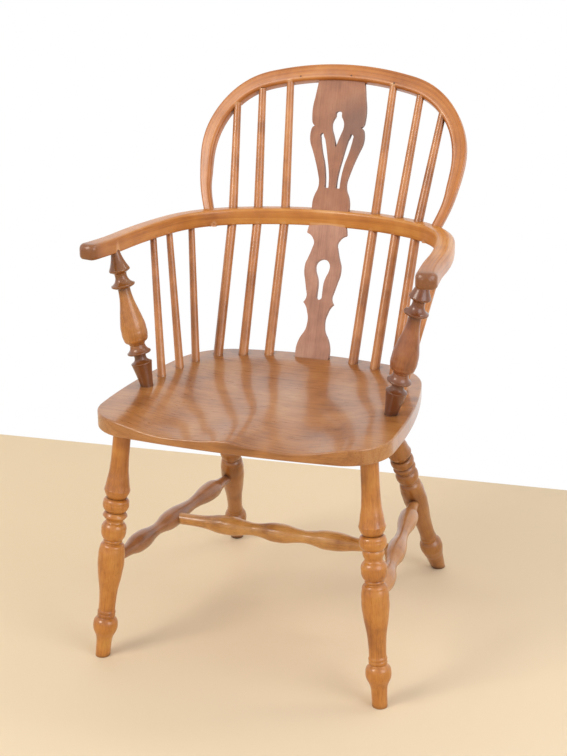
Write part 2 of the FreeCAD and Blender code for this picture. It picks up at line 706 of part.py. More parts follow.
def make_upper_splat():
    """Upper splat: a flowing outline pierced by a drop and two curving slots."""
    base = Vector(0, upper_splat_foot, bow_mid(upper_splat_foot) + bow_height / 2)
    top = upper_splat_top_height()
    head = Vector(0, hoop_depth(top) + upper_splat_setback, top)
    length = (head - base).Length
    half = outline_edges([
        (34.3, -splat_housing, 0), (34.3, 14.0, 0), (27.6, 36.0, 1.2),
        (27.2, 61.0, -2.2), (44.9, 112.0, -1.0), (48.6, 143.5, 2.9),
        (43.0, 150.6, 1.2), (48.4, 159.0, 1.2), (46.8, 200.0, 2.0),
        (42.2, length, 0), (42.2, length + crown_housing, 0),
    ])
    drop = outline_edges([
        (0.0, 113.5, 0), (8.6, 140.0, -0.3), (11.7, 155.0, 0.9),
        (7.4, 166.0, 0.8), (6.0, 172.0, -0.5), (0.0, 178.0, 2.4),
    ])
    drop = drop + [mirrored(edge) for edge in drop]
    slot = outline_edges([
        (8.6, 41.6, 0), (12.4, 41.6, 0), (14.2, 43.4, 0.7), (15.6, 64.0, -0.3),
        (20.7, 90.0, -0.5), (28.6, 119.0, 0.6), (30.6, 131.0, 0.3), (25.4, 138.4, 3.0),
        (20.8, 127.0, -0.5), (12.6, 90.0, 0.4), (7.4, 60.0, 0.5), (6.8, 43.4, 0.2), (8.6, 41.6, 0.7),
    ])
    other = [mirrored(edge) for edge in slot]
    return splat_board(half, [drop, slot, other], base, head, upper_splat_offset)


def upper_splat_top_height():
    """Height where the upper splat meets the inner face of the hoop's crown."""
    steps = hoop_walk()
    crown = point_along(steps, walk_length(steps))[0]
    return hoop_point(0, crown.y - hoop_crown_size[0] / 2).z


def make_wedge(point, direction, across, tenon):
    """A thin wedge driven into the end of a through tenon, as wide as the tenon itself."""
    side = across.cross(direction).normalize()
    rings = []
    for reach, half in ((-1.0, wedge_thickness / 2), (wedge_depth, 0.3)):
        centre = point + direction * reach
        ends = (centre - across * 15.0, centre + across * 15.0)
        ring = [ends[0] - side * half, ends[1] - side * half, ends[1] + side * half, ends[0] + side * half]
        rings.append(Part.makePolygon(ring + [ring[0]]))
    return largest(Part.makeLoft(rings, True, True).common(tenon))


def make_pins():
    """The pins of the hoop and of the arm bow."""
    lean = math.radians(hoop_lean)
    inward = Vector(0, math.cos(lean), -math.sin(lean))
    front = inward * (-hoop_crown_size[1] / 2 - pin_excess)
    in_hoop = []
    for x, reach in hoop_pins:
        start = hoop_point(x + hoop_shift, reach) + front
        end = start + inward * (hoop_pin_depth + pin_excess)
        in_hoop.append(rod(start, end, pin_radius, pin_radius))
    in_bow = []
    for place, heading, above in bow_pins:
        direction = Vector(heading[0], heading[1], 0)
        start = on_bow(place, above) + Vector(bow_shift, 0, 0) - direction * pin_excess
        end = start + direction * (bow_pin_depth + pin_excess)
        in_bow.append(rod(start, end, pin_radius, pin_radius))
    return in_hoop, in_bow


def build_chair():
    """Makes every piece, cuts the joints and returns the pieces by name."""
    pieces = {}
    seat = make_seat()
    seat_cuts = []
    bow_cuts = []
    hoop_cuts = []

    legs = {}
    for side, name in ((-1, "left"), (1, "right")):
        for end, foot, shoulder in (("front", front_foot, front_shoulder), ("back", back_foot, back_shoulder)):
            ring = plain_ring if (end, name) == ("front", "right") else bold_ring
            profile = leg_profile if end == "front" else back_leg_profile
            here = (side * foot[0], foot[1])
            there = (side * shoulder[0], shoulder[1])
            legs[end, name], socket = make_leg(here, there, ring, profile, seat)
            seat_cuts.append(socket)

    rails = {}
    for side, name in ((-1, "left"), (1, "right")):
        start = sided(leg_axis_point(front_foot, front_shoulder, rail_height), side)
        end = sided(leg_axis_point(back_foot, back_shoulder, rail_height), side)
        rails[name], socket = make_rail(start, end, rail_swells, 0)
        for place in ("front", "back"):
            legs[place, name] = largest(legs[place, name].cut(socket))
    part = (cross_station - start.y) / (end.y - start.y)
    meeting = start + (end - start) * part
    cross, socket = make_rail(sided(meeting, -1), meeting, cross_swells, 1)
    for name in rails:
        rails[name] = largest(rails[name].cut(socket))

    bow = make_arm_bow()
    hoop = make_hoop()

    long_ones = {}
    short_ones = {}
    for side, name in ((-1, "left"), (1, "right")):
        for index in range(3):
            spindle, low, high = make_long_spindle(index, side)
            long_ones[name, index] = spindle
            seat_cuts += [spindle, low]
            bow_cuts.append(spindle)
            hoop_cuts += [spindle, high]
            spindle, low, high = make_short_spindle(index, side)
            short_ones[name, index] = spindle
            seat_cuts += [spindle, low]
            bow_cuts += [spindle, high]

    posts = {}
    for side, name in ((-1, "left"), (1, "right")):
        posts[name], room = make_post(side)
        seat_cuts.append(posts[name])
        bow_cuts += [posts[name], room]

    lower_splat = make_lower_splat()
    upper_splat = make_upper_splat()
    seat_cuts.append(lower_splat)
    bow_cuts += [lower_splat, upper_splat]
    hoop_cuts.append(upper_splat)

    below = Part.makeBox(1200, 1200, 100, Vector(-600, -600, -bow_height / 2 - 100))
    below.rotate(Vector(0, 0, 0), Vector(1, 0, 0), -math.degrees(math.atan(bow_fall)))
    below.translate(Vector(0, 0, bow_level))
    bow_cuts.append(hoop)
    hoop = largest(hoop.cut(below))

    in_hoop, in_bow = make_pins()
    bow_blank = bow.copy()
    hoop_blank = hoop.copy()
    seat = largest(seat.cut(seat_cuts))
    bow = largest(bow.cut(bow_cuts + in_bow))
    hoop = largest(hoop.cut(hoop_cuts + in_hoop))
    for spindles in (long_ones, short_ones):
        for key in spindles:
            spindles[key] = largest(spindles[key].cut(in_hoop + in_bow))

    hoop_wedges = []
    for side in (-1, 1):
        middle = hoop_foot[0] + hoop_outer_reach[0] - hoop_foot_size[0] / 2
        low = sided(hoop_point(middle, 0), side, hoop_shift)
        up = (sided(hoop_point(middle + 8.0, 30.0), side, hoop_shift) - low).normalize()
        end = low - up * (bow_height / 2 / up.z)
        wedge = make_wedge(end, up, Vector(1, 0, 0), hoop)
        hoop = largest(hoop.cut(wedge))
        hoop_wedges.append(wedge)

    pieces["seat"] = seat
    pieces["arm_bow"] = bow
    pieces["back_hoop"] = hoop
    pieces["lower_splat"] = lower_splat
    pieces["upper_splat"] = upper_splat
    pieces["cross_stretcher"] = cross
    pieces["hoop_wedges"] = Part.makeCompound(hoop_wedges)
    pieces["hoop_pins"] = Part.makeCompound([pin.common(hoop_blank) for pin in in_hoop])
    pieces["bow_pins"] = Part.makeCompound([pin.common(bow_blank) for pin in in_bow])
    for name in ("left", "right"):
        pieces["front_leg_" + name] = legs["front", name]
        pieces["back_leg_" + name] = legs["back", name]
        pieces["side_stretcher_" + name] = rails[name]
        pieces["arm_post_" + name] = posts[name]
        for index in range(3):
            pieces["long_spindle_%s_%d" % (name, index + 1)] = long_ones[name, index]
            pieces["short_spindle_%s_%d" % (name, index + 1)] = short_ones[name, index]
    return pieces


def save(pieces):
    """Slides the chair over the origin and writes one file for each piece."""
    os.makedirs("parts", exist_ok=True)
    boxes = [shape.optimalBoundingBox() for shape in pieces.values()]
    front = min(box.YMin for box in boxes)
    back = max(box.YMax for box in boxes)
    for name, shape in pieces.items():
        shape.translate(Vector(0, -(front + back) / 2, 0))
        shape.exportStep("parts/" + name + ".step")
    print("depth", front, back)


save(build_chair())
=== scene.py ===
import math

import bmesh
import bpy
import numpy as np
from mathutils import Matrix, Vector


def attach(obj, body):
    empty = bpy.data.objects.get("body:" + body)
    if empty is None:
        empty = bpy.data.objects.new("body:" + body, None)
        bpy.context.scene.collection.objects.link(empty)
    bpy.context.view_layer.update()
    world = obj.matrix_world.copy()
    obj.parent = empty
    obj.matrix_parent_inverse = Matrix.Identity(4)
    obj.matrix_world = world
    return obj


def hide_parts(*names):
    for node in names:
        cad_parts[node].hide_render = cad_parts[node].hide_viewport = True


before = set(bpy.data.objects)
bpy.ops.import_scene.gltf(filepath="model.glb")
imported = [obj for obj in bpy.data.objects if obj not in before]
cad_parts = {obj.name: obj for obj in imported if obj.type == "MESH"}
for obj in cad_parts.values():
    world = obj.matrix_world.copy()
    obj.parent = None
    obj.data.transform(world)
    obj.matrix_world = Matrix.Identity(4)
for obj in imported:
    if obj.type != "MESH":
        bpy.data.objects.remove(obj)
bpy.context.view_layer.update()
print("frame loaded")

# The chair's plan is drawn about y = 0 and then slid back by this much, so every place adds it
slide = -0.058571


def place(x, y, z):
    # millimetres of the chair's own plan to metres in the frame
    return Vector((x / 1000, y / 1000 + slide, z / 1000))


def bowMiddle(y):
    # height of the middle of the arm bow, which sinks a little towards the back
    return 681.6 - 0.0275 * y


camera = {
    "spot": (841.2, -2222.0, 1284.2), "yaw": 20.484, "pitch": -19.165, "roll": -0.557,
    "focal": 1499.37, "middle": (283.16, 379.40), "frame": (567, 756),
}
stage = {
    "floorColour": "#e8d6b8", "wallColour": "#ffffff", "wallShade": "#f4f2ee",
    "reach": 7.0, "wallHeight": 5.0,
    "wallLeft": (-951.3, 652.7), "wallRight": (374.6, 758.2), "floorDrop": 0.0005,
}
lamps = {
    "key": {"spot": (-1.7, -2.3, 2.6), "aim": (0, 0, 0.45), "size": 1.5, "power": 54, "colour": "#fff6ea"},
    "fill": {"spot": (2.6, -1.2, 1.7), "aim": (0, 0, 0.5), "size": 2.2, "power": 36, "colour": "#f7f8ff"},
    "rear": {"spot": (1.1, 1.0, 2.3), "aim": (0, 0, 0.45), "size": 1.2, "power": 20, "colour": "#ffffff"},
}
worldLevel = 0.56


def linear(hexColour):
    # sRGB hex to the linear colour that Blender works in
    parts = [int(hexColour[i:i + 2], 16) / 255 for i in (1, 3, 5)]
    return [c / 12.92 if c <= 0.04045 else ((c + 0.055) / 1.055) ** 2.4 for c in parts] + [1.0]


def addNode(tree, kind, settings=None, **links):
    # one node: settings are its own fields or its sockets' values, links are what feeds its sockets
    node = tree.nodes.new(kind)
    for key, value in (settings or {}).items():
        if isinstance(key, str) and hasattr(node, key):
            setattr(node, key, value)
        else:
            node.inputs[key].default_value = value
    for key, source in links.items():
        socket = int(key[1:]) if key[0] == "i" and key[1:].isdigit() else key.replace("_", " ")
        tree.links.new(source, node.inputs[socket])
    return node


def makeCamera():
    yaw, pitch, roll = (math.radians(camera[k]) for k in ("yaw", "pitch", "roll"))
    ahead = Vector((-math.sin(yaw) * math.cos(pitch), math.cos(yaw) * math.cos(pitch), math.sin(pitch)))
    level = Vector((math.cos(yaw), math.sin(yaw), 0))
    upward = level.cross(ahead)
    right = level * math.cos(roll) + upward * math.sin(roll)
    upward = upward * math.cos(roll) - level * math.sin(roll)
    data = bpy.data.cameras.new("photoCamera")
    data.sensor_fit = "VERTICAL"
    data.sensor_height = 24
    width, height = camera["frame"]
    data.lens = camera["focal"] * data.sensor_height / height
    data.shift_x = (width / 2 - camera["middle"][0]) / height
    data.shift_y = (camera["middle"][1] - height / 2) / height
    obj = bpy.data.objects.new("photoCamera", data)
    bpy.context.scene.collection.objects.link(obj)
    turn = Matrix((right, upward, -ahead)).transposed().to_4x4()
    obj.matrix_world = Matrix.Translation(place(*camera["spot"])) @ turn
    bpy.context.scene.camera = obj


def seenPlainly(tree):
    # 1 for rays from the camera, in a reflection or through glass, 0 for those that only carry light
    ray = addNode(tree, "ShaderNodeLightPath")
    seen = addNode(tree, "ShaderNodeMath", {"operation": "MAXIMUM"}, i0=ray.outputs["Is Camera Ray"],
                   i1=ray.outputs["Is Glossy Ray"])
    return addNode(tree, "ShaderNodeMath", {"operation": "MAXIMUM"}, i0=seen.outputs[0],
                   i1=ray.outputs["Is Transmission Ray"]).outputs[0]


def makeStage():
    left = place(*stage["wallLeft"], 0)
    right = place(*stage["wallRight"], 0)
    along = (right - left).normalized()
    back = Vector((-along.y, along.x, 0))
    middle = (left + right) / 2

    floorLook = bpy.data.materials.new("paleBoardFloor")
    floorLook.use_nodes = True
    shader = floorLook.node_tree.nodes["Principled BSDF"]
    shader.inputs["Base Color"].default_value = linear(stage["floorColour"])
    shader.inputs["Roughness"].default_value = 0.62
    shader.inputs["Specular IOR Level"].default_value = 0.3

    wallLook = bpy.data.materials.new("whitePaintedWall")
    wallLook.use_nodes = True
    tree = wallLook.node_tree
    shader = tree.nodes["Principled BSDF"]
    shader.inputs["Base Color"].default_value = linear(stage["wallShade"])
    shader.inputs["Roughness"].default_value = 0.9
    glow = addNode(tree, "ShaderNodeEmission", {"Color": linear(stage["wallColour"]), "Strength": 1.0})
    mix = addNode(tree, "ShaderNodeMixShader", None, i0=seenPlainly(tree), i1=shader.outputs[0],
                  i2=glow.outputs[0])
    # a camera that stands behind the wall looks through it
    behind = addNode(tree, "ShaderNodeNewGeometry").outputs["Backfacing"]
    ray = addNode(tree, "ShaderNodeLightPath").outputs["Is Camera Ray"]
    clear = addNode(tree, "ShaderNodeMath", {"operation": "MULTIPLY"}, i0=behind, i1=ray)
    glass = addNode(tree, "ShaderNodeBsdfTransparent")
    shown = addNode(tree, "ShaderNodeMixShader", None, i0=clear.outputs[0], i1=mix.outputs[0],
                    i2=glass.outputs[0])
    tree.links.new(shown.outputs[0], tree.nodes["Material Output"].inputs["Surface"])

    def sheet(name, corners, look):
        mesh = bpy.data.meshes.new(name)
        bm = bmesh.new()
        bm.faces.new([bm.verts.new(c) for c in corners])
        bm.to_mesh(mesh)
        bm.free()
        mesh.materials.append(look)
        obj = bpy.data.objects.new(name, mesh)
        bpy.context.scene.collection.objects.link(obj)

    low = middle - Vector((0, 0, stage["floorDrop"]))
    far = stage["reach"]
    front = low - along * far - back * far
    sheet("floor", [front, low + along * far - back * far, low + along * far, low - along * far], floorLook)
    tall = Vector((0, 0, stage["wallHeight"]))
    sheet("wall", [low - along * far, low + along * far, low + along * far + tall,
                   low - along * far + tall], wallLook)


def makeLight():
    for name, lamp in lamps.items():
        data = bpy.data.lights.new(name, "AREA")
        data.shape = "DISK"
        data.size = lamp["size"]
        data.energy = lamp["power"]
        data.color = linear(lamp["colour"])[:3]
        obj = bpy.data.objects.new(name, data)
        obj.location = lamp["spot"]
        aim = Vector(lamp["aim"]) - Vector(lamp["spot"])
        obj.rotation_euler = aim.to_track_quat("-Z", "Y").to_euler()
        bpy.context.scene.collection.objects.link(obj)
    world = bpy.data.worlds.new("studio")
    bpy.context.scene.world = world
    world.use_nodes = True
    tree = world.node_tree
    settings = {"To Min": worldLevel, "To Max": 1.0}
    level = addNode(tree, "ShaderNodeMapRange", settings, Value=seenPlainly(tree))
    tree.links.new(level.outputs[0], tree.nodes["Background"].inputs["Strength"])
    tree.nodes["Background"].inputs["Color"].default_value = linear("#ffffff")
    bpy.context.scene.view_settings.view_transform = "Standard"


makeCamera()
makeStage()
makeLight()
print("camera, floor and light made")


# What the woods share: lengths are in metres. Rings and fibres are drawn about twice as wide as
# real ones, where those would be too fine to show.
looks = {
    # elm plank, shaped with an adze and waxed: low streaks from side to side, mottled, a satin top
    # that mirrors the wall and the spindles softly, and faint nicks where an edge is rubbed
    "elmPlankAdzedWaxed": {
        "ring": 0.011, "ringPull": 0.5, "ringShare": 0.17, "fibre": 0.0010, "fibreShare": 0.30,
        "stretch": 0.03, "blotch": 0.075, "blotchShare": 0.50, "pore": 0.45, "rough": 0.31, "coat": 0.60,
        "coatRough": 0.13, "waxAndPaintedShade": "#4a270f", "waxAndShadeReach": 0.011, "waxAndShadeShare": 0.75, "wearAndHighlight": "#e3b27c",
        "wearAndHighlightShare": 0.75, "bump": 0.16, "heart": (0.0, -0.09, -0.12), "nick": 0.8,
    },
    # ash rail bent in steam: straight golden grain that follows the bend, with a soft gloss
    "ashRailSteamBent": {
        "ring": 0.0060, "ringPull": 0.25, "ringShare": 0.24, "fibre": 0.0010, "fibreShare": 0.28,
        "stretch": 0.02, "blotch": 0.08, "blotchShare": 0.40, "pore": 0.22, "rough": 0.34, "coat": 0.35,
        "coatRough": 0.22, "waxAndPaintedShade": "#4f2a10", "waxAndShadeReach": 0.009, "waxAndShadeShare": 0.8, "wearAndHighlight": "#ecc091",
        "wearAndHighlightShare": 0.5, "bump": 0.14, "heart": (0.05, 0.02, 0.0),
    },
    # beech turned on a lathe, stained and waxed: short flecks, fine rings left by the tool, and
    # dark old wax with painted shade in the grooves
    "beechTurnedWaxed": {
        "ring": 0.0085, "ringPull": 0.35, "ringShare": 0.12, "fibre": 0.0008, "fibreShare": 0.26,
        "stretch": 0.06, "blotch": 0.05, "blotchShare": 0.50, "pore": 0.42, "rough": 0.33, "coat": 0.45,
        "coatRough": 0.15, "waxAndPaintedShade": "#3a1c0a", "waxAndShadeReach": 0.012, "waxAndShadeShare": 0.95, "wearAndHighlight": "#dfa866",
        "wearAndHighlightShare": 0.45, "bump": 0.14, "heart": (0.012, 0.006, 0.0), "toolMark": 0.0042, "toolDepth": 0.10,
    },
    # fruitwood board, sawn and pierced, with little wax left: dull, pinkish, fine upright pores
    "fruitwoodBoardSawn": {
        "ring": 0.009, "ringPull": 0.5, "ringShare": 0.14, "fibre": 0.0009, "fibreShare": 0.26,
        "stretch": 0.04, "blotch": 0.05, "blotchShare": 0.40, "pore": 0.42, "rough": 0.52, "coat": 0.10,
        "coatRough": 0.36, "waxAndPaintedShade": "#40241a", "waxAndShadeReach": 0.008, "waxAndShadeShare": 0.8, "wearAndHighlight": "#dcb49c",
        "wearAndHighlightShare": 0.4,
        "bump": 0.22, "heart": (0.09, 0.03, 0.0),
    },
    # oak pegs and wedges cut across the grain: almost black with old wax
    "oakEndGrainCut": {
        "ring": 0.002, "ringPull": 0.3, "ringShare": 0.4, "fibre": 0.0008, "fibreShare": 0.4, "stretch": 1.0,
        "blotch": 0.02, "blotchShare": 0.3, "pore": 0.4, "rough": 0.5, "coat": 0.15, "coatRough": 0.3,
        "waxAndPaintedShade": "#241005", "waxAndShadeReach": 0.004, "waxAndShadeShare": 0.8, "wearAndHighlight": "#8a5a32", "wearAndHighlightShare": 0.2,
        "bump": 0.2, "heart": (0.0, 0.0, 0.0),
    },
}

# What is the same in every wood
shared = {
    # noise that pulls the rings about, and noise that stains the piece
    "pull": {"Scale": 26.0, "Detail": 2.0, "Roughness": 0.45}, "pullGain": 9,
    "stainNoise": {"Detail": 3.0, "Roughness": 0.55}, "stainGain": 3.0,
    # a ring counts less along the grain; where in a ring the late wood starts, is darkest and ends
    "alongRing": 0.012, "lateStart": 0.35, "lateDark": 0.88, "lateEnd": 1.0, "lateGain": -0.8,
    # noise of the fibres and the pores, both scaled by the width of a fibre
    "fibreScale": 0.5, "fibreNoise": {"Detail": 3.0, "Roughness": 0.6}, "fibreGain": 2.2,
    "poreScale": 0.8, "poreFrom": 0.60, "poreTo": 0.74, "poreDepth": -0.6,
    # where the dark, middle and light tones sit
    "darkAt": 0.05, "midAt": 0.5, "lightAt": 0.95,
    # a smudge's edge is pulled in by the stain's noise, in metres
    "smudgePull": -0.04,
    # rubbed edges lightened with wear and painted highlight, and knocks in them
    "edgeReach": 0.0045, "edgeSamples": 6, "edgeFrom": 0.55, "edgeTo": 0.15,
    "knock": {"Scale": 26.0, "Detail": 1.0}, "knockFrom": 0.60, "knockTo": 0.64, "knockColour": "#4c3a30",
    # old wax in hollows, with painted shade: darker wherever nearby surfaces occlude
    "waxAndShadeSamples": 8, "waxAndShadeFrom": 0.86, "waxAndShadeTo": 0.25,
    # gloss: rougher with the fibre and where the old wax and painted shade lie
    "fibreDull": 0.25, "meanDull": 0.12, "waxAndShadeDull": 0.3, "ior": 1.5,
    "reliefDepth": 0.0004,
    # moves each piece to another part of the tree
    "seedStep": (3.1, 1.7, 5.3),
}

# Stains: dark, middle and light tone of each group of pieces. Bands change the tone along the
# grain: (where it starts, where it is full, colour, share), in metres from the start of the piece,
# or on a bent rail from the middle of the bend.
stains = {
    "seat": {"tones": ("#7c4616", "#a96e36", "#bd8950")},
    "bow": {"tones": ("#9c5619", "#c67f32", "#dda050"),
            "bands": ((0.45, 0.54, "#a0643a", 0.6), (0.538, 0.560, "#6e4020", 0.7))},
    "hoop": {"tones": ("#935016", "#bb7331", "#d09048")},
    "lowerSplat": {"tones": ("#8a5a44", "#b38068", "#c89b82")},
    # the smudge is (middle in the chair's millimetres, radius in metres, colour, share)
    "upperSplat": {"tones": ("#7f4e36", "#a26c4f", "#b58264"),
                   "smudge": ((47, 312, 830), 0.05, "#5f4d4c", 0.5)},
    "frontLeg": {"tones": ("#8f5018", "#bb762b", "#cd903f")},
    # painted shade: the back legs and the left stretcher get darker tones of the same turned beech, as shaded
    # copies of the front legs and right stretcher
    "backLegShaded": {"tones": ("#804c1d", "#a0652b", "#b27939")},
    "leftRailShaded": {"tones": ("#7f5032", "#a06c44", "#b5845c")},
    "rightRail": {"tones": ("#985e30", "#b77e48", "#c58e59")},
    "crossRail": {"tones": ("#965c26", "#cb934f", "#e0ac69")},
    "spindle": {"tones": ("#8f531f", "#c07c42", "#d6975c")},
    "leftPost": {"tones": ("#7c4519", "#b47434", "#cc9253"),
                 "bands": ((0.078, 0.060, "#6a3814", 0.8), (0.150, 0.170, "#6a3814", 0.65))},
    "rightPost": {"tones": ("#6b3718", "#985a30", "#aa7040"),
                  "bands": ((0.078, 0.060, "#5e3014", 0.75), (0.150, 0.170, "#5e3014", 0.55))},
    "peg": {"tones": ("#3a1d0c", "#5b3217", "#7d4a25")},
}


def grainCoordinates(tree, origin, along, face):
    # object coordinates turned so that z runs with the grain from the start of the piece
    grain = Vector(along).normalized()
    side = Vector(face).cross(grain).normalized()
    frontal = grain.cross(side)
    turn = Matrix((side, frontal, grain)).transposed().to_euler()
    spot = addNode(tree, "ShaderNodeTexCoord").outputs["Object"]
    return addNode(tree, "ShaderNodeMapping", {
        "vector_type": "TEXTURE", "Location": origin, "Rotation": turn}, Vector=spot).outputs[0]


def woodMaterial(name, look, stain, origin=None, along=(0, 0, 1), face=(1, 0, 0), seed=0.0):
    # a wood whose grain runs along one direction, or without an origin along the stored bend
    spec = looks[look]
    tones = stains[stain]["tones"]
    material = bpy.data.materials.new(look + "." + name)
    material.use_nodes = True
    tree = material.node_tree
    shader = tree.nodes["Principled BSDF"]
    if origin is None:
        spot = addNode(tree, "ShaderNodeAttribute", {"attribute_name": "bend"}).outputs["Vector"]
    else:
        spot = grainCoordinates(tree, origin, along, face)

    def maths(operation, first, second=None, third=None, link=None, added=None):
        settings = {"operation": operation}
        if second is not None:
            settings[1] = second
        if third is not None:
            settings[2] = third
        links = {"i0": first}
        if link is not None:
            links["i1"] = link
        if added is not None:
            links["i2"] = added
        return addNode(tree, "ShaderNodeMath", settings, **links).outputs[0]

    def mixed(share, under, over):
        # one colour laid over another by a share
        return addNode(tree, "ShaderNodeMix", {"data_type": "RGBA", 7: linear(over)},
                       i0=share, i6=under).outputs[2]

    def ranged(value, start, full, share, soft=False):
        # 0 where a value is at start or before, rising to the share where it is full
        kind = "SMOOTHSTEP" if soft else "LINEAR"
        settings = {"interpolation_type": kind, "From Min": start, "From Max": full, "To Max": share}
        return addNode(tree, "ShaderNodeMapRange", settings, Value=value).outputs[0]

    # coordinates squeezed along the grain, so that noise turns into fibres
    apart = tuple(seed * step for step in shared["seedStep"])
    shifted = addNode(tree, "ShaderNodeVectorMath", {"operation": "ADD", 1: apart}, i0=spot).outputs[0]
    settings = {"Scale": (1, 1, spec["stretch"])}
    squeezed = addNode(tree, "ShaderNodeMapping", settings, Vector=shifted).outputs[0]

    # growth rings: distance from the heart of the tree, pulled about by a slow noise
    pull = addNode(tree, "ShaderNodeTexNoise", shared["pull"], Vector=squeezed).outputs[0]
    heart = addNode(tree, "ShaderNodeVectorMath", {"operation": "SUBTRACT", 1: spec["heart"]},
                    i0=spot).outputs[0]
    flat = addNode(tree, "ShaderNodeVectorMath", {"operation": "MULTIPLY", 1: (1, 1, shared["alongRing"])},
                   i0=heart).outputs[0]
    reach = addNode(tree, "ShaderNodeVectorMath", {"operation": "LENGTH"}, i0=flat).outputs["Value"]
    count = maths("DIVIDE", reach, spec["ring"])
    saw = maths("FRACT", maths("MULTIPLY_ADD", pull, spec["ringPull"] * shared["pullGain"], added=count))
    rise = ranged(saw, shared["lateStart"], shared["lateDark"], 1.0, soft=True)
    fall = ranged(saw, shared["lateEnd"], shared["lateDark"], 1.0, soft=True)
    ring = maths("MULTIPLY", rise, link=fall)

    # fibres and pores along the grain, and a slow change of stain over the piece
    settings = dict(shared["fibreNoise"], Scale=shared["fibreScale"] / spec["fibre"])
    fibre = addNode(tree, "ShaderNodeTexNoise", settings, Vector=squeezed).outputs[0]
    settings = {"Scale": shared["poreScale"] / spec["fibre"], "Detail": 1.0}
    pores = addNode(tree, "ShaderNodeTexNoise", settings, Vector=squeezed).outputs[0]
    pore = ranged(pores, shared["poreFrom"], shared["poreTo"], 1.0)
    settings = dict(shared["stainNoise"], Scale=1.0 / spec["blotch"])
    blotch = addNode(tree, "ShaderNodeTexNoise", settings, Vector=shifted).outputs[0]

    # tone: lighter and darker with the fibre and the stain, darker in late wood and in pores
    tone = maths("MULTIPLY_ADD", maths("SUBTRACT", fibre, 0.5), spec["fibreShare"] * shared["fibreGain"], 0.5)
    stained = maths("SUBTRACT", blotch, 0.5)
    tone = maths("MULTIPLY_ADD", stained, spec["blotchShare"] * shared["stainGain"], added=tone)
    tone = maths("MULTIPLY_ADD", ring, spec["ringShare"] * shared["lateGain"], added=tone)
    ramp = addNode(tree, "ShaderNodeValToRGB", None, Fac=tone)
    ramp.color_ramp.elements[0].position = shared["darkAt"]
    ramp.color_ramp.elements[0].color = linear(tones[0])
    ramp.color_ramp.elements[1].position = shared["lightAt"]
    ramp.color_ramp.elements[1].color = linear(tones[2])
    ramp.color_ramp.elements.new(shared["midAt"]).color = linear(tones[1])
    colour = mixed(maths("MULTIPLY", pore, spec["pore"]), ramp.outputs[0], tones[0])

    axis = addNode(tree, "ShaderNodeSeparateXYZ", None, Vector=spot).outputs[2]
    for start, full, shade, share in stains[stain].get("bands", ()):
        colour = mixed(ranged(maths("ABSOLUTE", axis), start, full, share), colour, shade)
    if "smudge" in stains[stain]:
        middle, radius, shade, share = stains[stain]["smudge"]
        where = addNode(tree, "ShaderNodeTexCoord").outputs["Object"]
        away = addNode(tree, "ShaderNodeVectorMath", {"operation": "DISTANCE", 1: place(*middle)},
                       i0=where).outputs["Value"]
        away = maths("MULTIPLY_ADD", blotch, shared["smudgePull"], added=away)
        colour = mixed(ranged(away, radius, 0.0, share, soft=True), colour, shade)

    # rubbed edges lightened with wear and painted highlight, nicks in them, and old wax with painted shade in
    # the corners
    edge = addNode(tree, "ShaderNodeAmbientOcclusion", {
        "samples": shared["edgeSamples"], "inside": True, "Distance": shared["edgeReach"]})
    # painted highlight mixed with wear: convex edges found by inside occlusion take the lighter colour
    wornAndHighlit = ranged(edge.outputs["AO"], shared["edgeFrom"], shared["edgeTo"], spec["wearAndHighlightShare"])
    colour = mixed(wornAndHighlit, colour, spec["wearAndHighlight"])
    if "nick" in spec:
        knock = addNode(tree, "ShaderNodeTexNoise", shared["knock"], Vector=shifted).outputs[0]
        knock = ranged(knock, shared["knockFrom"], shared["knockTo"], spec["nick"])
        colour = mixed(maths("MULTIPLY", knock, link=wornAndHighlit), colour, shared["knockColour"])
    # painted shade mixed with old wax: the colour darkens wherever ambient occlusion finds nearby surfaces,
    # in grooves and between parts
    hollow = addNode(tree, "ShaderNodeAmbientOcclusion", {
        "samples": shared["waxAndShadeSamples"], "Distance": spec["waxAndShadeReach"]})
    waxAndPaintedShade = ranged(hollow.outputs["AO"], shared["waxAndShadeFrom"], shared["waxAndShadeTo"], spec["waxAndShadeShare"])
    colour = mixed(waxAndPaintedShade, colour, spec["waxAndPaintedShade"])
    tree.links.new(colour, shader.inputs["Base Color"])

    # satin wax: rougher in pores and where the old wax and painted shade lie
    dull = maths("MULTIPLY_ADD", fibre, shared["fibreDull"], spec["rough"] - shared["meanDull"])
    dull = maths("MULTIPLY_ADD", waxAndPaintedShade, shared["waxAndShadeDull"], added=dull)
    tree.links.new(dull, shader.inputs["Roughness"])
    shader.inputs["IOR"].default_value = shared["ior"]
    shader.inputs["Coat Weight"].default_value = spec["coat"]
    shader.inputs["Coat Roughness"].default_value = spec["coatRough"]

    # relief: open pores, and on turned pieces the fine rings that the tool left
    height = maths("MULTIPLY_ADD", pore, shared["poreDepth"], added=fibre)
    if "toolMark" in spec:
        wave = maths("SINE", maths("MULTIPLY", axis, 2 * math.pi / spec["toolMark"]))
        height = maths("MULTIPLY_ADD", wave, spec["toolDepth"], added=height)
    settings = {"Strength": spec["bump"], "Distance": shared["reliefDepth"]}
    bump = addNode(tree, "ShaderNodeBump", settings, Height=height)
    tree.links.new(bump.outputs[0], shader.inputs["Normal"])
    return material


def dress(node, material):
    # gives a CAD node its wood
    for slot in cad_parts[node].material_slots:
        slot.material = material


